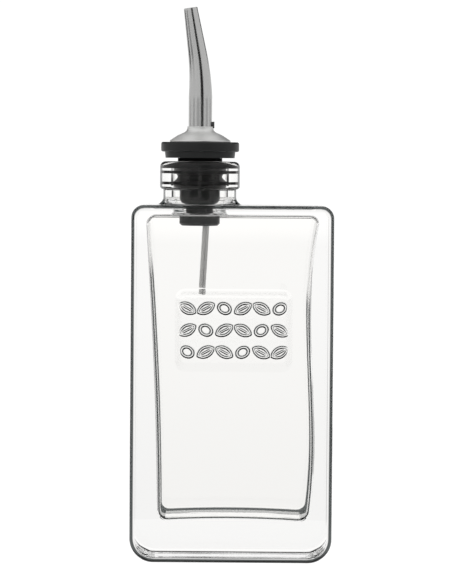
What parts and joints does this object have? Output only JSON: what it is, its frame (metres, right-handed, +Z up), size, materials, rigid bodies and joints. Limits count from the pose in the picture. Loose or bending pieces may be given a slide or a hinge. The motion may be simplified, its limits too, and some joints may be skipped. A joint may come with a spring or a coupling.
{
  "type": "glass oil bottle with pourer",
  "caption": "Flat rectangular clear glass oil bottle with an off-centre neck, a ribbed black stopper and a bent steel pouring spout with an air tube.",
  "frame": {"origin": "middle of the base, on the surface that the bottle stands on", "axes": "+Z up, +X along the wide face with the neck on the -X side, +Y from the relief panel towards the plain back face"},
  "size_m": [0.078, 0.046, 0.2151],
  "materials": {
    "clear_glass": "clear, polished, with a stippled relief panel",
    "black_plastic": "satin moulded",
    "black_rubber": "matte",
    "satin_steel": "satin"
  },
  "bodies": {
    "bottle": {"glass_bottle": "clear_glass"},
    "stopper": {"stopper_plug": "black_plastic", "seal_sleeve": "black_rubber"},
    "spout": {"spout_tube": "satin_steel", "base_cap": "satin_steel", "spout_shank": "satin_steel", "air_tube": "satin_steel"}
  },
  "joints": [
    {"name": "pourer_pull", "type": "slide", "parent": "bottle", "child": "stopper", "axis": [0, 0, 1], "range_m": [0, 0.058]},
    {"name": "spout_swivel", "type": "hinge", "parent": "stopper", "child": "spout", "pos_m": [-0.0129, 0, 0.162], "axis": [0, 0, 1], "continuous": true}
  ]
}
